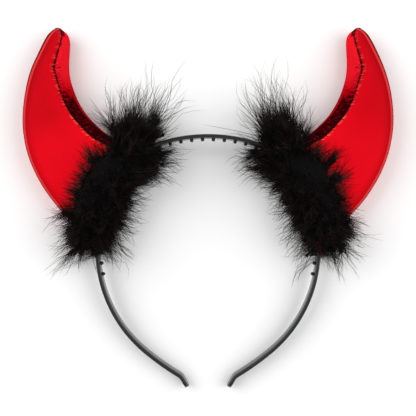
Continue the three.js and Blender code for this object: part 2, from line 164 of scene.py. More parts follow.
# The satin's reds: the cloth by its place with painted light near the seam and on the upper strip, the convex
# edge with painted shade and a painted highlight, and the gathered strip with painted shade in its creases,
# pleats, hem and furrows.
SATIN_DIM = (0.5, 0.001, 0.006)
SATIN_LIT = (0.74, 0.0014, 0.008)
SATIN_UPPER = (0.36, 0.001, 0.006)
SATIN_SLUB = (0.34, 0.0005, 0.005)
PAINTED_LIGHT_NEAR_SEAM = (0.7, 0.002, 0.01)
SATIN_LOWER = (0.95, 0.004, 0.014)
PAINTED_LIGHT_UPPER_STRIP = (1.0, 0.014, 0.028)
SATIN_SHEEN = (1.0, 0.2, 0.15, 1)
EDGE_SHADE = (0.3, 0.0, 0.004)
EDGE_GLINT = (0.85, 0.06, 0.055)
EDGE_RIM_SHADE = (0.06, 0.0, 0.002)
PUCKER_HIGHLIGHT = (1.0, 0.19, 0.1)
STRIP_CREASE_SHADE = (0.14, 0.0, 0.005)
STRIP_SHADOW = (0.17, 0.0, 0.004)
PLEAT_FOLD_SHADE = (0.012, 0.0, 0.002)
HEM_SHADE_LINE = (0.03, 0.0, 0.003)
BACK_TURN_SHADE = (0.22, 0.0, 0.004)
DRAWN_TIP = (0.05, 0.0, 0.004)
SEAM_FURROW_SHADE = (0.02, 0.0, 0.002)


class Finish:
    """A material in the making."""

    def __init__(self, name):
        self.material = bpy.data.materials.new(name)
        self.material.use_nodes = True
        self.tree = self.material.node_tree
        self.shader = self.tree.nodes["Principled BSDF"]
        self.place = self.put("ShaderNodeTexCoord").outputs["Object"]

    def fill(self, node, sockets):
        for name, value in sockets.items():
            if isinstance(value, bpy.types.NodeSocket):
                self.tree.links.new(value, node.inputs[name])
            else:
                node.inputs[name].default_value = value

    def put(self, kind, sockets=None, **settings):
        """Adds a node, with its settings and with its sockets set or linked."""
        node = self.tree.nodes.new(kind)
        for name, value in settings.items():
            setattr(node, name, value)
        self.fill(node, sockets or {})
        return node

    def reckon(self, operation, *values):
        return self.put("ShaderNodeMath", dict(enumerate(values)), operation=operation).outputs[0]

    def times(self, *factors):
        product = factors[0]
        for factor in factors[1:]:
            product = self.reckon("MULTIPLY", product, factor)
        return product

    def between(self, value, low, high):
        """0 below low, 1 above high; the other way round where low is the larger."""
        rising = low <= high
        sockets = {"Value": value, "From Min": min(low, high), "From Max": max(low, high),
                   "To Min": 0.0 if rising else 1.0, "To Max": 1.0 if rising else 0.0}
        return self.put("ShaderNodeMapRange", sockets, interpolation_type="SMOOTHSTEP").outputs["Result"]

    def ranged(self, value, low, high):
        """A value from 0 to 1 taken to between low and high."""
        sockets = {"Value": value, "To Min": low, "To Max": high}
        return self.put("ShaderNodeMapRange", sockets).outputs["Result"]

    def painted(self, under, over, *amount):
        """Colour over on colour under, as much as the amounts make together."""
        under, over = (c if isinstance(c, bpy.types.NodeSocket) else (*c, 1) for c in (under, over))
        sockets = {0: self.times(*amount), 6: under, 7: over}
        return self.put("ShaderNodeMix", sockets, data_type="RGBA", blend_type="MIX").outputs[2]

    def mark(self, name):
        return self.put("ShaderNodeAttribute", attribute_name=name).outputs["Fac"]

    def speckle(self, place, scale, detail):
        sockets = {"Vector": place, "Scale": scale, "Detail": detail}
        return self.put("ShaderNodeTexNoise", sockets).outputs["Fac"]

    def ply(self, scale, distortion, detail):
        """Slanting lines, as of twisted thread."""
        sockets = {"Vector": self.place, "Scale": scale, "Distortion": distortion, "Detail": detail}
        return self.put("ShaderNodeTexWave", sockets, bands_direction="DIAGONAL").outputs["Fac"]

    def relief(self, height, strength, depth):
        sockets = {"Height": height, "Strength": strength, "Distance": depth}
        return self.put("ShaderNodeBump", sockets).outputs["Normal"]

    def done(self, sockets):
        """The material, with its shader's sockets set or linked."""
        self.fill(self.shader, sockets)
        return self.material


def band_plastic():
    finish = Finish("band_plastic")
    patches = finish.speckle(finish.place, 60, 2)
    grain = finish.speckle(finish.place, 900, 3)
    return finish.done({
        "Base Color": finish.painted((0.005, 0.005, 0.006), (0.01, 0.01, 0.011), patches),
        "Roughness": finish.ranged(patches, 0.12, 0.2),
        "Normal": finish.relief(grain, 0.06, 0.0001),
    })


def horn_satin(name, lustre):
    """Red satin: painted shade and a painted highlight at the convex edge seam, painted highlights on the
    puckers and painted shade in the pleats beside the gathers.

    far is down from the tip, seam and edge are away from the two seams, outline is on the section.
    """
    finish = Finish(name)
    between, times, painted = finish.between, finish.times, finish.painted
    seam, seam_side, edge, edge_side, outline, far = (finish.mark(key) for key in HORN_MARKS)
    strip = between(seam_side, -0.001, 0.001)
    panel = finish.reckon("SUBTRACT", 1.0, strip)
    front = between(edge_side, -0.001, 0.001)

    def streaks(along, aside, detail):
        """Streaks that run across the gathered seam."""
        place = finish.put("ShaderNodeCombineXYZ", {"X": times(far, along), "Y": times(seam, aside)})
        return finish.speckle(place.outputs[0], 1.0, detail)

    # The cloth: deeper towards the tip, brighter on the lower panel, and painted light by the seam and on the
    # strip's upper part.
    cloud = finish.speckle(finish.place, 55, 3)
    slub = finish.speckle(finish.place, 1100, 3)
    colour = painted(SATIN_DIM, SATIN_LIT, cloud)
    colour = painted(colour, SATIN_UPPER, between(far, 60.0, 5.0), panel, 0.6)
    colour = painted(colour, SATIN_SLUB, slub, 0.55)
    colour = painted(colour, PAINTED_LIGHT_NEAR_SEAM, between(seam, 12.0, 1.0), 0.4)
    colour = painted(colour, SATIN_LOWER, between(far, 45.0, 72.0), panel, 0.35)
    colour = painted(colour, PAINTED_LIGHT_UPPER_STRIP, between(far, 38.0, 24.0), strip, 0.6)

    # The convex edge: a painted highlight on the raised seam, with painted shade inside it and a painted dark
    # rim at the silhouette.
    colour = painted(colour, EDGE_SHADE, between(edge, 8.0, 3.0), front, 0.5)
    colour = painted(colour, EDGE_GLINT, between(edge, 3.3, 2.7), between(edge, 1.7, 2.1), front, 0.6)
    colour = painted(colour, EDGE_RIM_SHADE, between(edge, 1.9, 1.5), 0.8)

    # Painted highlights on the puckers on the panel's side of the gathered seam, stronger further down.
    pucker_glints = between(streaks(1.05, 0.3, 1), 0.5, 0.66)
    stronger = finish.reckon("MULTIPLY_ADD", between(far, 34.0, 62.0), 0.5, 0.25)
    colour = painted(colour, PUCKER_HIGHLIGHT, pucker_glints, between(seam, 3.0, 0.9), panel, stronger)

    # Painted shade in fine creases that run off the seam across the strip's upper half.
    crease_shade = between(streaks(2.6, 0.3, 2), 0.42, 0.62)
    crease_shade_reach = times(between(seam, 6.5, 0.8), between(far, 10.0, 26.0), strip)
    colour = painted(colour, STRIP_CREASE_SHADE, crease_shade, crease_shade_reach, 0.75)

    # Painted shadow over the gathered strip's lower part and painted shade in its pleats, none at the top and
    # crowded from the middle down.
    gathered = times(between(outline, 7.4, 7.25), strip)
    crowded = times(between(far, 29.0, 46.0), 0.3)
    fold_shade = between(finish.reckon("ADD", streaks(1.5, 0.22, 2), crowded), 0.62, 0.8)
    colour = painted(colour, STRIP_SHADOW, between(far, 32.0, 46.0), gathered, 0.8)
    colour = painted(colour, PLEAT_FOLD_SHADE, fold_shade, between(far, 24.0, 34.0), gathered, 0.96)

    # Painted shade along the strip's hem, and painted shade where the cloth turns to the back.
    hem_shade = times(between(outline, 7.62, 7.7), between(outline, 7.86, 7.78))
    colour = painted(colour, HEM_SHADE_LINE, hem_shade, between(far, 26.0, 40.0), 0.85)
    colour = painted(colour, BACK_TURN_SHADE, between(outline, 7.7, 8.1), between(outline, 9.2, 8.8), 0.6)

    # The tip is drawn in, and painted shade darkens the furrows that the thread lies in.
    colour = painted(colour, DRAWN_TIP, between(far, 5.6, 4.0), between(seam, 2.8, 2.0), strip, 0.85)
    colour = painted(colour, SEAM_FURROW_SHADE, between(seam, 0.8, 0.3), between(streaks(0.9, 0.0, 1), 0.36, 0.56))

    thread = finish.reckon("ADD", times(finish.ply(520, 1.2, 1), 0.35), slub)
    return finish.done({
        "Base Color": colour,
        "Roughness": finish.ranged(cloud, 0.46, 0.6),
        "Normal": finish.relief(thread, 0.12, 0.0001),
        "Specular IOR Level": lustre,
        "Specular Tint": SATIN_SHEEN,
    })


def seam_thread():
    finish = Finish("seam_thread")
    ply = finish.ply(700, 2.0, 2)
    return finish.done({
        "Base Color": finish.painted((0.0012, 0.0008, 0.001), (0.005, 0.0035, 0.004), ply),
        "Normal": finish.relief(ply, 0.4, 0.0001),
        "Roughness": 0.7,
        "Specular IOR Level": 0.1,
    })


def marabou(name, dark, light, roughness):
    """Black feather, with a painted brown highlight on single barbs picked at random."""
    finish = Finish(name)
    pale = finish.times(finish.speckle(finish.place, 160, 4), finish.mark("barb_highlight"))
    down = finish.speckle(finish.place, 1500, 2)
    return finish.done({
        "Base Color": finish.painted(dark, light, finish.between(pale, 0.3, 0.6)),
        "Normal": finish.relief(down, 0.5, 0.0002),
        "Roughness": roughness,
        "Specular IOR Level": 0.12,
    })


PLASTIC = band_plastic()
SATIN = horn_satin("horn_satin", 0.06)
GATHERED = horn_satin("gathered_satin", 0.0)
THREAD = seam_thread()
DOWN = marabou("feather_down", (0.0012, 0.0008, 0.0008), (0.004, 0.0025, 0.0025), 0.9)
BARB = marabou("feather_barb", (0.002, 0.0014, 0.0012), (0.045, 0.027, 0.021), 0.6)


# Shared making

def into_row(form):
    """Lays a worn form down in the row frame."""
    form.transform(WORN_TO_ROW)
    return form


def piece_from(name, mesh, finish, stands_for):
    mesh.materials.clear()
    mesh.materials.append(finish)
    mesh.shade_smooth()
    piece = bpy.data.objects.new(name, mesh)
    bpy.context.scene.collection.objects.link(piece)
    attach(piece, "root")
    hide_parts(*stands_for)
    return piece


def mesh_from(name, form):
    mesh = bpy.data.meshes.new(name)
    form.to_mesh(mesh)
    form.free()
    return mesh


def next_ring(form, ring):
    """Extrudes a closed ring of vertices by one step and gives the new ring in the same order."""
    edges = [form.edges.get((a, b)) for a, b in zip(ring, ring[1:] + ring[:1])]
    made = bmesh.ops.extrude_edge_only(form, edges=edges)["geom"]
    fresh = {v for v in made if isinstance(v, bmesh.types.BMVert)}
    return [next(e.other_vert(v) for e in v.link_edges if e.other_vert(v) in fresh) for v in ring]


# The band's outer edge

band_stretches = []
x = z = heading = begins = 0.0
for share, sweep in BAND_ARCS:
    bend = math.copysign(1 / (share * BAND_SPAN), sweep)
    length = math.radians(sweep) / bend
    band_stretches.append((begins, x, z, heading, bend, length))
    ahead = heading + math.radians(sweep)
    x += (math.sin(ahead) - math.sin(heading)) / bend
    z += (math.cos(ahead) - math.cos(heading)) / bend
    heading = ahead
    begins += length
band_stretches.append((begins, x, z, heading, 0.0, BAND_TIP_LENGTH))


def band_place(distance, side=1):
    """Point on the outer edge, the way out from the head, and the way on towards the tip."""
    begins, x, z, heading, bend, _ = [s for s in band_stretches if s[0] <= distance][-1]
    rest = distance - begins
    ahead = heading + bend * rest
    if bend:
        x += (math.sin(ahead) - math.sin(heading)) / bend
        z += (math.cos(ahead) - math.cos(heading)) / bend
    else:
        x += math.cos(heading) * rest
        z -= math.sin(heading) * rest
    out = Vector((side * math.sin(ahead), 0, math.cos(ahead)))
    on = Vector((side * math.cos(ahead), 0, -math.sin(ahead)))
    return Vector((side * x, 0, z)), out, on


def make_band():
    form = bmesh.new()
    bmesh.ops.create_grid(form, x_segments=1, y_segments=1, size=0.5)
    stand = Matrix((
        (0, 0, 1, 0),
        (BAND_WIDTH, 0, 0, 0),
        (0, BAND_THICKNESS, 0, -BAND_THICKNESS / 2),
        (0, 0, 0, 1),
    ))
    bmesh.ops.transform(form, matrix=stand, verts=form.verts)
    bmesh.ops.bevel(form, geom=form.verts[:], affect="VERTICES", offset=BAND_ROUNDING, segments=4,
                    profile=0.5, material=-1)
    bmesh.ops.delete(form, geom=form.faces[:], context="FACES_ONLY")
    edges = form.edges[:]
    for _, x, z, heading, bend, length in band_stretches[:-1]:
        out = Vector((math.sin(heading), 0, math.cos(heading)))
        centre = Vector((x, 0, z)) - out / bend
        steps = max(6, round(length / 1.6))
        made = bmesh.ops.spin(form, geom=edges, cent=centre, axis=(0, 1, 0), angle=length * bend, steps=steps)
        edges = [e for e in made["geom_last"] if isinstance(e, bmesh.types.BMEdge)]
    heading = band_stretches[-1][3]
    on = Vector((math.cos(heading), 0, -math.sin(heading)))
    straight = BAND_TIP_LENGTH - BAND_TIP_ROUNDING
    width = 1.0
    before = 0.0
    for share in (0.0, 0.3, 0.55, 0.75, 0.9, 0.97):
        made = bmesh.ops.extrude_edge_only(form, edges=edges)["geom"]
        fresh = [v for v in made if isinstance(v, bmesh.types.BMVert)]
        made_edges = [e for e in made if isinstance(e, bmesh.types.BMEdge)]
        edges = [e for e in made_edges if all(v in fresh for v in e.verts)]
        reach = straight if share == 0 else BAND_TIP_ROUNDING * (share - before)
        inset = BAND_TIP_ROUNDING * (1 - math.sqrt(1 - share * share))
        narrower = 1 - inset / (BAND_WIDTH / 2)
        bmesh.ops.translate(form, verts=fresh, vec=on * reach)
        bmesh.ops.scale(form, verts=fresh, vec=(1, narrower / width, 1))
        width = narrower
        before = share
    bmesh.ops.edgeloop_fill(form, edges=edges)
    for distance in np.arange(TOOTH_PITCH / 2, TOOTH_REACH, TOOTH_PITCH):
        point, out, on = band_place(float(distance))
        peg = bmesh.ops.create_cone(form, cap_ends=True, segments=12, radius1=TOOTH_RADIUS * 1.12,
                                    radius2=TOOTH_RADIUS, depth=TOOTH_HEIGHT + 2 * TOOTH_ROOT)["verts"]
        crown = [e for e in {e for v in peg for e in v.link_edges} if all(v.co.z > 0 for v in e.verts)]
        shaped = bmesh.ops.bevel(form, geom=crown, affect="EDGES", offset=TOOTH_DOME, segments=3,
                                 profile=0.5, material=-1)
        peg = list({v for v in peg if v.is_valid} | set(shaped["verts"]))
        middle = point - out * (BAND_THICKNESS + TOOTH_HEIGHT / 2 - TOOTH_ROOT)
        turn = (-out).to_track_quat("Z", "Y").to_matrix().to_4x4()
        bmesh.ops.transform(form, matrix=Matrix.Translation(middle) @ turn, verts=peg)
    half = form.verts[:] + form.edges[:] + form.faces[:]
    bmesh.ops.mirror(form, geom=half, matrix=Matrix.Identity(4), merge_dist=0.001, axis="X")
    bmesh.ops.remove_doubles(form, verts=form.verts, dist=0.001)
    bmesh.ops.recalc_face_normals(form, faces=form.faces)
    mesh = mesh_from("hair_band_plastic", into_row(form))
    return piece_from("hair_band_plastic", mesh, PLASTIC, ["hair_band"])


# Horns

def smooth_row(table, place):
    """A row of a table at any place between its rows."""
    last = len(table) - 1
    row = min(int(place), last - 1)
    t = place - row
    before, start, end, after = (table[min(max(row + k, 0), last)] for k in (-1, 0, 1, 2))
    leave, arrive = (end - before) / 2, (after - start) / 2
    return (start * (2 * t**3 - 3 * t**2 + 1) + leave * (t**3 - 2 * t**2 + t)
            + end * (3 * t**2 - 2 * t**3) + arrive * (t**3 - t**2))


def outline_at(at):
    """The closed outline of a horn section at any mark."""
    row = int(at) % MARKS_ROUND
    t = at - int(at)
    before, start, end, after = (HORN_OUTLINE[(row + k) % MARKS_ROUND] for k in (-1, 0, 1, 2))
    return 0.5 * (2 * start + (end - before) * t + (2 * before - 5 * start + 4 * end - after) * t**2
                  + (3 * start - before - 3 * end + after) * t**3)


# Marks stand closer by the gathered seam and closest by the convex edge.
marks = {round(k / 4, 4) for k in range(4 * MARKS_ROUND)} | {round(3.0 + k / 10, 4) for k in range(42)}
marks |= {round((13.2 + k / 16) % MARKS_ROUND, 4) for k in range(26)}
RING_MARKS = np.array(sorted(marks))
OUTLINE_POINTS = np.array([outline_at(at) for at in RING_MARKS])
SEAT = np.array(band_place(HORN_SEAT)[0])


def horn_centre(place):
    out, up = smooth_row(HORN_SECTIONS, place)[:2]
    lean = math.tan(math.radians(HORN_LEAN))
    return SEAT + np.array((out * HORN_REACH, lean * up * HORN_HEIGHT, up * HORN_HEIGHT))


places = np.linspace(0, len(HORN_SECTIONS) - 1, 600)
path = np.array([horn_centre(p) for p in places])
path_length = np.concatenate(([0], np.cumsum(np.linalg.norm(np.diff(path, axis=0), axis=1))))


def course(rows, far):
    """Where a seam runs on the outline, that far down the horn."""
    return float(np.interp(far, *zip(*rows)))


def horn_marks(section, far):
    """How far each point of a section lies from the two seams, and on which side of them."""
    steps = np.linalg.norm(np.roll(section, -1, 0) - section, axis=1)
    around = np.concatenate(([0], np.cumsum(steps)))
    drawn = {"outline": RING_MARKS, "far": np.full(len(section), far)}
    for key, rows in (("seam", SEAM_COURSE), ("edge", EDGE_COURSE)):
        line = course(rows, far)
        away = abs(around[:-1] - np.interp(line, np.append(RING_MARKS, MARKS_ROUND), around))
        drawn[key] = np.minimum(away, around[-1] - away)
        drawn[key + "_side"] = np.sin(2 * np.pi * (RING_MARKS - line) / MARKS_ROUND)
    return drawn


def horn_relief(drawn, far, side, full):
    """How far the seam's valley, its puckers and pleats and the edge's piping move each point out."""
    lower = min(1.0, max(0.0, (far - PLEATS_FROM) / PLEATS_GROW_OVER))
    rise = np.zeros(len(RING_MARKS))
    for k, (s, e) in enumerate(zip(drawn["seam"], drawn["edge"])):
        strip = drawn["seam_side"][k] > 0
        rise[k] -= SEAM_VALLEY * full * math.exp(-((s / 1.5) ** 2))
        tuck = noise.noise(Vector((far * (1.5 if strip else 0.95), s * 0.16, side * 7.0 + strip * 3.0)))
        if strip:
            rise[k] += PLEAT_RISE * full * (0.35 + 0.65 * lower) * tuck * math.exp(-(((s - 3.0) / 3.2) ** 2))
        else:
            rise[k] += PUCKER_RISE * full * tuck * math.exp(-(((s - 1.0) / 2.4) ** 2))
        if drawn["edge_side"][k] > 0:
            piping = 0.15 * math.exp(-(((e - 2.4) / 0.6) ** 2))
            groove = 0.2 * math.exp(-(((e - 4.0) / 1.0) ** 2))
            rise[k] += full * (piping - groove)
    return rise


def horn_ring(far, side):
    """Points of the ring that far down the horn, and how each lies to the two seams."""
    place = float(np.interp(far, path_length, places))
    _, _, width, depth, turn, roll = smooth_row(HORN_SECTIONS, place)
    turn, roll = math.radians(turn), math.radians(roll)
    flat = np.array((math.cos(turn), 0, math.sin(turn)))
    back = np.array((0.0, 1.0, 0.0))
    across = flat * math.cos(roll) - back * math.sin(roll)
    through = back * math.cos(roll) + flat * math.sin(roll)
    section = OUTLINE_POINTS * (width * HORN_WIDTH / 2, depth * HORN_DEPTH / 2)
    drawn = horn_marks(section, far)
    run = np.roll(section, -1, 0) - np.roll(section, 1, 0)
    run /= np.linalg.norm(run, axis=1)[:, None]
    outwards = np.stack((run[:, 1], -run[:, 0]), 1)
    full = min(1.0, depth)
    section = section + outwards * horn_relief(drawn, far, side, full)[:, None]
    points = horn_centre(place) + section[:, :1] * across + section[:, 1:] * through
    for k, p in enumerate(points):
        lump = noise.noise(Vector(p) * 0.075 + Vector((side * 5.0, 0, 0)))
        points[k] = p + (across * outwards[k, 0] + through * outwards[k, 1]) * LUMP_RISE * full * lump
    return points, drawn


band_samples = [band_place(float(d)) for d in np.arange(15.0, 112.0, 0.8)]
BAND_POINTS = np.array([p for p, _, _ in band_samples])
BAND_OUTS = np.array([o for _, o, _ in band_samples])


def off_band(points, gap):
    """Moves what lies inside the band's outer face out onto it. Points are on the right half."""
    away = points[:, None, :] - BAND_POINTS[None]
    away[:, :, 1] = 0
    nearest = np.argmin((away**2).sum(2), 1)
    picked = np.arange(len(points))
    rise = (away[picked, nearest] * BAND_OUTS[nearest]).sum(1)
    return points + BAND_OUTS[nearest] * np.clip(gap - rise, 0, None)[:, None]


def rest_on_floor(mesh, softness):
    """Presses a lying soft piece flat where the floor holds it."""
    for v in mesh.vertices:
        v.co.z = 0.5 * (v.co.z + math.sqrt(v.co.z**2 + softness**2))


def make_horn(name, side):
    form = bmesh.new()
    layers = {key: form.verts.layers.float.new(key) for key in HORN_MARKS}
    ring = bmesh.ops.create_circle(form, cap_ends=False, segments=len(RING_MARKS), radius=1)["verts"]

    def lay(ring, points, drawn):
        for k, v in enumerate(ring):
            v.co = (side * points[k][0], points[k][1], points[k][2])
            for key in HORN_MARKS:
                v[layers[key]] = drawn[key][k]

    # The rounded tip.
    points, drawn = horn_ring(0.0, side)
    middle = points.mean(0)
    up = (path[0] - path[12]) / np.linalg.norm(path[0] - path[12])
    tip_ring = ring
    for share in (0.97, 0.85, 0.6, 0.3):
        small = math.sqrt(1 - share * share)
        lay(ring, middle + (points - middle) * small + up * share * HORN_TIP_DOME, drawn)
        ring = next_ring(form, ring)
    for far in np.arange(0.0, path_length[-1], RING_STEP):
        points, drawn = horn_ring(float(far), side)
        if far > HORN_FOOT_FROM:
            points = off_band(points, HORN_GAP)
        lay(ring, points, drawn)
        last = ring
        ring = next_ring(form, ring)
    bmesh.ops.delete(form, geom=ring, context="VERTS")
    for end in (tip_ring, last):
        edges = [form.edges.get((a, b)) for a, b in zip(end, end[1:] + end[:1])]
        bmesh.ops.edgeloop_fill(form, edges=edges)
    bmesh.ops.recalc_face_normals(form, faces=form.faces)
    mesh = mesh_from(name, into_row(form))
    rest_on_floor(mesh, FLOOR_SOFTNESS)
    piece = piece_from(name, mesh, SATIN, ["horn_left" if side < 0 else "horn_right"])
    mesh.materials.append(GATHERED)
    first, last = GATHERED_MARKS
    drawn = [mesh.attributes[key].data for key in ("outline", "seam_side")]
    for face in mesh.polygons:
        outline, seam_side = (sum(d[v].value for v in face.vertices) / len(face.vertices) for d in drawn)
        if seam_side > 0 and first < outline < last:
            face.material_index = 1
    return piece


def seam_point(far, side, lift):
    """A point on the gathered seam, lifted off the cloth, and the way out from the cloth there."""
    points, _ = horn_ring(far, side)
    at = course(SEAM_COURSE, far)
    before, here, after = (
        np.array([np.interp(at + step, RING_MARKS, points[:, k]) for k in range(3)])
        for step in (-0.4, 0, 0.4)
    )
    place = float(np.interp(far, path_length, places))
    down = horn_centre(min(place + 0.1, places[-1])) - horn_centre(max(place - 0.1, 0))
    out = np.cross(after - before, down)
    out /= np.linalg.norm(out)
    if out @ (here - horn_centre(place)) < 0:
        out = -out
    p = here + out * lift
    return Vector((side * p[0], p[1], p[2])), Vector((side * out[0], out[1], out[2]))


def stitch(form, start, end, outwards, thickness):
    """One lying stitch: a short thread, thinner where it dives into the cloth."""
    middle = (start + end) / 2
    run = end - start
    stub = bmesh.ops.create_uvsphere(form, u_segments=8, v_segments=6, radius=0.5)["verts"]
    turn = run.to_track_quat("Z", "Y").to_matrix().to_4x4()
    size = Matrix.Diagonal((thickness, thickness, run.length * 1.05, 1))
    raised = Matrix.Translation(middle + outwards * thickness * 0.15)
    bmesh.ops.transform(form, matrix=raised @ turn @ size, verts=stub)


def make_seam(name, side):
    """Uneven stitches down the gathered seam, with ticks across it and one knot with its tail."""
    form = bmesh.new()
    far = 0.6
    k = 0
    while far < STITCHES_END:
        length = STITCH_LENGTH + 0.6 * math.sin(k * 2.3)
        start, out = seam_point(far, side, 0.3)
        end, _ = seam_point(far + length, side, 0.3)
        slant = 0.3 * math.sin(k * 1.7)
        sideways = out.cross(end - start).normalized()
        thickness = STITCH_THICKNESS + 0.12 * math.sin(k * 3.1)
        stitch(form, start - sideways * slant, end + sideways * slant, out, thickness)
        if k % 3 == 1:
            tick = start + sideways * (0.7 + 0.3 * math.sin(k * 5.3)) * side
            stitch(form, start, tick, out, TICK_THICKNESS)
        far += length + STITCH_GAP + 0.25 * math.sin(k * 4.1)
        k += 1
    knot, out = seam_point(KNOT_AT, side, 0.35)
    below, _ = seam_point(KNOT_AT + 1.0, side, 0.35)
    run = (below - knot).normalized()
    inner = out.cross(run).normalized() * side
    for turn in range(3):
        tilt = (run * 0.5 + inner * (turn - 1)).normalized()
        stitch(form, knot - tilt * 0.8, knot + tilt * 0.8, out, KNOT_THICKNESS)
    tail = [knot + inner * (-1.0 * t) + run * (0.35 * t) - out * 0.06 * t for t in (0, 1.2, 2.4, 3.6)]
    for start, end in zip(tail, tail[1:]):
        stitch(form, start, end, out, KNOT_TAIL_THICKNESS)
    bmesh.ops.recalc_face_normals(form, faces=form.faces)
    return piece_from(name, mesh_from(name, into_row(form)), THREAD, [])


# Feather trims

def applied(mesh, *modifiers):
    """A mesh with modifiers run on it."""
    worked = bpy.data.objects.new("worked", mesh)
    bpy.context.scene.collection.objects.link(worked)
    for kind, settings in modifiers:
        modifier = worked.modifiers.new(kind, kind)
        for key, value in settings.items():
            setattr(modifier, key, value)
    bpy.context.view_layer.update()
    done = bpy.data.meshes.new_from_object(worked.evaluated_get(bpy.context.evaluated_depsgraph_get()))
    bpy.data.objects.remove(worked)
    return done


def largest_island(mesh):
    """The mesh without the loose crumbs beside its largest body."""
    form = bmesh.new()
    form.from_mesh(mesh)
    unseen = set(form.verts)
    largest = set()
    while unseen:
        island, edge = set(), {unseen.pop()}
        while edge:
            island |= edge
            edge = {e.other_vert(v) for v in edge for e in v.link_edges} - island
        unseen -= island
        largest = max(largest, island, key=len)
    bmesh.ops.delete(form, geom=[v for v in form.verts if v not in largest], context="VERTS")
    return mesh_from(mesh.name, form)


def make_down(name, node):
    """The close down inside a trim: the trim's own form, softened and a little smaller."""
    form = bmesh.new()
    form.from_mesh(frame["nodes"][node].data)
    bmesh.ops.remove_doubles(form, verts=form.verts, dist=0.00001)
    mesh = applied(mesh_from(name, form), ("REMESH", {"mode": "VOXEL", "voxel_size": CORE_VOXEL * 0.001}))
    mesh = applied(
        largest_island(mesh),
        ("SMOOTH", {"factor": 0.6, "iterations": 6}),
        ("SUBSURF", {"levels": 1, "render_levels": 1}),
    )
    mesh.update()
    normals = [v.normal.copy() for v in mesh.vertices]
    for v, n in zip(mesh.vertices, normals):
        v.co += n * (noise.noise(v.co * 330) * DOWN_RUFFLE - DOWN_SHRINK)
        v.co.z = max(v.co.z, FLOOR_CLEARANCE)
    return piece_from(name, mesh, DOWN, [node])


trim_offsets = np.linspace(-TRIM_HALF_LENGTH, TRIM_HALF_LENGTH, 77)
trim_line = [band_place(HORN_SEAT + offset) for offset in trim_offsets]


def unit(rows):
    return rows / (np.linalg.norm(rows, axis=1)[:, None] + 1e-9)


def spread_like(rows):
    """One random way for each row."""
    return chance.normal(size=rows.shape)


def strands(name, steps, widths):
    """Joined tapering barbs, each closed and three-sided, through its own row of points."""
    count = len(steps)
    run = unit(steps[-1] - steps[0])
    aside = unit(np.cross(run, spread_like(run)))
    above = np.cross(run, aside)
    taper = np.linspace(1.0, BARB_TAPER, count - 1)
    rings = []
    for k in range(count - 1):
        for corner in range(3):
            angle = 2 * math.pi * corner / 3
            offset = aside * math.cos(angle) + above * math.sin(angle)
            rings.append(steps[k] + offset * (widths * taper[k] / 2)[:, None])
    rings.append(steps[-1])
    points = np.stack(rings, 1)
    faces = [(0, 2, 1)]
    for k in range(count - 2):
        for corner in range(3):
            a, b = 3 * k + corner, 3 * k + (corner + 1) % 3
            faces += [(a, b, b + 3), (a, b + 3, a + 3)]
    top = 3 * (count - 2)
    faces += [(top + corner, top + (corner + 1) % 3, 3 * (count - 1)) for corner in range(3)]
    amount = len(widths)
    firsts = np.arange(amount) * points.shape[1]
    stacked = (np.array(faces)[None] + firsts[:, None, None]).reshape(-1, 3)
    lying = np.array(WORN_TO_ROW)
    flat = points.reshape(-1, 3) @ lying[:3, :3].T + lying[:3, 3]
    over = np.clip(flat[:, 2] - FLUFF_CEILING, 0, None)
    flat[:, 2] -= over - CEILING_GIVE * (1 - np.exp(-over / CEILING_GIVE))
    pressed = (FLOOR_GIVE - FLOOR_CLEARANCE) * np.exp((flat[:, 2] - FLOOR_GIVE) / FLOOR_GIVE) + FLOOR_CLEARANCE
    flat[:, 2] = np.where(flat[:, 2] < FLOOR_GIVE, pressed, flat[:, 2])
    mesh = bpy.data.meshes.new(name)
    mesh.vertices.add(len(flat))
    mesh.vertices.foreach_set("co", flat.ravel())
    mesh.loops.add(len(stacked) * 3)
    mesh.loops.foreach_set("vertex_index", stacked.ravel())
    mesh.polygons.add(len(stacked))
    mesh.polygons.foreach_set("loop_start", np.arange(len(stacked)) * 3)
    mesh.polygons.foreach_set("loop_total", np.full(len(stacked), 3))
    mesh.update(calc_edges=True)
    mesh.validate()
    # Each barb gets its own random share of the painted brown highlight.
    barb_highlight = mesh.attributes.new("barb_highlight", "FLOAT", "POINT")
    barb_highlight.data.foreach_set("value", np.repeat(chance.uniform(0.2, 1.0, amount), points.shape[1]))
    return piece_from(name, mesh, BARB, [])


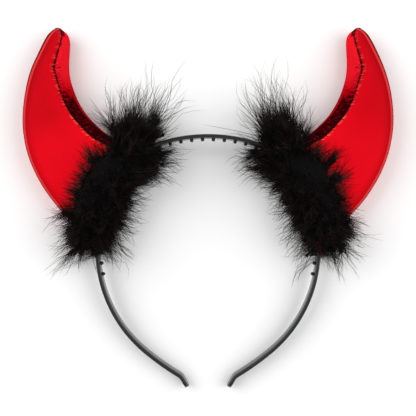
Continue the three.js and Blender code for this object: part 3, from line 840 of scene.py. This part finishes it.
class Trim:
    """The down that one trim's barbs grow from, and how each of its faces lies to band and horn."""

    def __init__(self, label, side, down, horn):
        self.label = label
        inverse = np.array(ROW_TO_WORN)
        faces = down.data.polygons
        self.centres = np.array([p.center[:] for p in faces]) @ inverse[:3, :3].T + inverse[:3, 3]
        self.normals = np.array([p.normal[:] for p in faces]) @ np.array(turned)[:3, :3]
        self.areas = np.array([p.area for p in faces])
        worn_horn = bmesh.new()
        worn_horn.from_mesh(horn.data)
        worn_horn.transform(ROW_TO_WORN)
        self.horn_skin = BVHTree.FromBMesh(worn_horn)
        worn_horn.free()
        points, outs, ons = (np.array(rows) * (side, 1, 1) for rows in zip(*trim_line))
        rises = TRIM_RISE + TRIM_TILT * trim_offsets / TRIM_HALF_LENGTH
        middle = points + outs * rises[:, None]
        nearest = np.argmin(((self.centres[:, None] - middle[None]) ** 2).sum(2), 1)
        self.out, self.on = outs[nearest], ons[nearest]
        self.radial = unit(self.centres - middle[nearest])
        self.outness = (self.radial * self.out).sum(1)
        self.share = nearest / (len(trim_line) - 1) * 2 - 1
        self.open_air = self.areas * ((self.normals * self.radial).sum(1) > 0.1)

    def pick(self, count, weights):
        return chance.choice(len(self.centres), count, p=weights / weights.sum())

    def heading(self, faces, spread):
        """The way that barbs stand there: outwards, fanned towards the trim's two ends."""
        share = self.share[faces]
        tilt = np.sign(share) * np.abs(share) ** np.where(share < 0, 0.5, 1.0)
        fan = self.on[faces] * (tilt * 0.85)[:, None]
        way = self.radial[faces] * 0.7 + self.normals[faces] * 0.5 + fan
        return unit(way + spread_like(way) * spread)

    def reach(self, faces):
        """Feather stands longest over the crown's side of the horn."""
        crownward = np.clip(-self.share[faces], 0, 1)
        armward = np.clip(self.share[faces], 0, 1)
        outward = np.clip(self.outness[faces] + 0.2, 0, 1)
        frontness = np.clip(-self.radial[faces][:, 1], 0, 1)
        longest = BARB_REACH + 10.0 * outward * crownward + 3.0 * armward + 2.0 * crownward
        return longest * (1 - 0.25 * frontness)

    def off_horn(self, points, gap):
        """Keeps barbs from running into the horn: what would is laid on its skin."""
        for k, p in enumerate(points):
            found, normal, _, _ = self.horn_skin.find_nearest(Vector(p), HORN_NEARNESS)
            if found is not None and (Vector(p) - found).dot(normal) < gap:
                points[k] = found + normal * gap
        return points

    def grow(self, kind, steps, gap, gap_growth, thinnest, thickest):
        """Makes barbs through rows of points, which stand off the horn more towards their tips."""
        for k in range(1, len(steps)):
            steps[k] = self.off_horn(steps[k], gap + gap_growth * k)
        widths = chance.uniform(thinnest, thickest, len(steps[0]))
        kinds = kind if isinstance(kind, tuple) else (kind,)
        part = len(widths) // len(kinds)
        for k, each in enumerate(kinds):
            mine = slice(k * part, (k + 1) * part)
            strands(f"marabou_{self.label}_{each}", [s[mine] for s in steps], widths[mine])

    def gather_clumps(self):
        """Picks the places that barbs lean to, with each clump's way, length and curl."""
        clumps = self.pick(CLUMPS_PER_TRIM, self.open_air)
        self.clump_centre = self.centres[clumps]
        self.clump_way = self.heading(clumps, 0.28)
        self.clump_length = self.reach(clumps) * chance.uniform(0.65, 1.35, len(clumps))
        curl = np.cross(self.clump_way, spread_like(self.clump_way))
        self.clump_curl = curl * np.clip(0.16 - 0.2 * self.outness[clumps], 0.08, 0.4)[:, None]
        self.clump_tree = KDTree(len(clumps))
        for k, centre in enumerate(self.clump_centre):
            self.clump_tree.insert(Vector(centre), k)
        self.clump_tree.balance()

    def clumps_of(self, roots):
        return np.array([self.clump_tree.find(Vector(r))[1] for r in roots])

    def grow_barbs(self):
        """The bulk of the feather, in two layers."""
        picked = self.pick(BARBS_PER_TRIM, self.open_air)
        roots = self.centres[picked]
        roots = roots + spread_like(roots) * 0.45 - self.radial[picked] * 1.2
        mine = self.clumps_of(roots)
        way = unit(self.clump_way[mine] * 0.75 + self.heading(picked, 0.3) * 0.45)
        length = (self.clump_length[mine] * chance.uniform(0.35, 1.1, len(picked)))[:, None]
        lean = (self.clump_centre[mine] - self.centres[picked]) * 0.55
        bow = self.clump_curl[mine] + np.cross(way, spread_like(way)) * 0.14
        steps = [roots + length * (way * t + bow * t * t) + lean * t**1.5 for t in (0.0, 0.36, 0.7, 1.0)]
        self.grow(("under", "over"), steps, 0.25, 0.25, 0.14, 0.3)

    def grow_drapes(self):
        """Barbs that hang over the horn's front from the trim's outer edge."""
        verge = self.areas * (self.outness > 0.35) * (self.radial[:, 1] < -0.15) * (np.abs(self.share) < 0.95)
        picked = self.pick(DRAPES_PER_TRIM, verge)
        roots = self.centres[picked]
        roots = roots + spread_like(roots) * 0.5 - self.radial[picked]
        fan = self.on[picked] * (self.share[picked] * 0.5)[:, None]
        way = unit(self.out[picked] * 0.85 + fan + np.array((0, -0.12, 0)) + spread_like(roots) * 0.28)
        length = chance.uniform(5.0, 13.0, len(picked))[:, None]
        bow = np.cross(way, spread_like(way)) * 0.16
        steps = [roots + way * length * t + bow * length * t * t for t in (0.0, 0.36, 0.7, 1.0)]
        self.grow("drapes", steps, 0.5, 0.45, 0.16, 0.3)

    def grow_wisps(self):
        """Long loose barbs that ripple beyond the rest."""
        picked = self.pick(WISPS_PER_TRIM, self.open_air)
        roots = self.centres[picked] - self.radial[picked]
        mine = self.clumps_of(roots)
        way = unit(self.clump_way[mine] * 0.6 + self.heading(picked, 0.25) * 0.6)
        length = (self.reach(picked) * chance.uniform(1.2, 2.4, len(picked)))[:, None]
        bow = self.clump_curl[mine] * 0.6 + np.cross(way, spread_like(way)) * 0.12
        ripple = np.cross(way, spread_like(way)) * 0.05
        steps = [roots + length * (way * t + bow * t * t + ripple * math.sin(t * 7.0))
                 for t in (0.0, 0.2, 0.4, 0.6, 0.8, 1.0)]
        self.grow("wisps", steps, 0.4, 0.25, 0.2, 0.34)

    def grow_quills(self):
        """A few stout quills over the crown's end."""
        crown_end = self.open_air * (self.share < -0.35) * (self.outness > 0.2)
        picked = self.pick(QUILLS_PER_TRIM, crown_end)
        roots = self.centres[picked] - self.radial[picked] * 3.0
        way = self.heading(picked, 0.2)
        length = chance.uniform(17.0, 27.0, len(picked))[:, None]
        bow = np.cross(way, spread_like(way)) * 0.07
        steps = [roots + way * length * t + bow * length * t * t for t in (0.0, 0.25, 0.5, 0.75, 1.0)]
        self.grow("quills", steps, 0.5, 0.3, 0.4, 0.55)


make_band()
for label, side in (("left", -1), ("right", 1)):
    horn = make_horn(f"horn_{label}_satin", side)
    make_seam(f"horn_{label}_seam_thread", side)
    down = make_down(f"feather_{label}_down", f"feather_trim_{label}")
    trim = Trim(label, side, down, horn)
    trim.gather_clumps()
    trim.grow_barbs()
    trim.grow_drapes()
    trim.grow_wisps()
    trim.grow_quills()


# Floor, light and camera

def make_floor():
    form = bmesh.new()
    bmesh.ops.create_grid(form, x_segments=1, y_segments=1, size=4)
    floor = bpy.data.objects.new("floor", mesh_from("floor", form))
    floor.data.materials.append(Finish("pale_floor").done({
        "Base Color": (0.9, 0.9, 0.9, 1), "Roughness": 0.8, "Specular IOR Level": 0.2}))
    bpy.context.scene.collection.objects.link(floor)


def soft_light(name, at, towards, size, power):
    lamp = bpy.data.lights.new(name, "AREA")
    lamp.shape = "SQUARE"
    lamp.size = size
    lamp.energy = power
    stand = bpy.data.objects.new(name, lamp)
    stand.location = at
    stand.rotation_euler = (Vector(towards) - Vector(at)).to_track_quat("-Z", "Y").to_euler()
    bpy.context.scene.collection.objects.link(stand)


make_floor()
soft_light("main_light", (-0.75, 0.25, 0.8), (0, 0, 0), 0.9, 6.5)
soft_light("fill_light", (0.75, 0.05, 0.8), (0, 0, 0), 0.9, 5.5)
world = bpy.data.worlds.new("studio")
bpy.context.scene.world = world
world.use_nodes = True
world.node_tree.nodes["Background"].inputs["Color"].default_value = (1, 1, 1, 1)
world.node_tree.nodes["Background"].inputs["Strength"].default_value = 0.62

camera = bpy.data.cameras.new("camera")
camera.lens = CAMERA_LENS
camera.sensor_width = 36
camera.clip_start = 0.01
viewer = bpy.data.objects.new("camera", camera)
look = Matrix((Vector((1, 0, 0)), worn_up, -worn_back)).transposed().to_4x4()
viewer.matrix_world = Matrix.Translation(WORN_TO_ROW @ Vector((0, -CAMERA_DISTANCE, -CAMERA_DROP))) @ look
bpy.context.scene.collection.objects.link(viewer)
bpy.context.scene.camera = viewer
bpy.context.scene.view_settings.view_transform = "Standard"

bpy.context.view_layer.update()
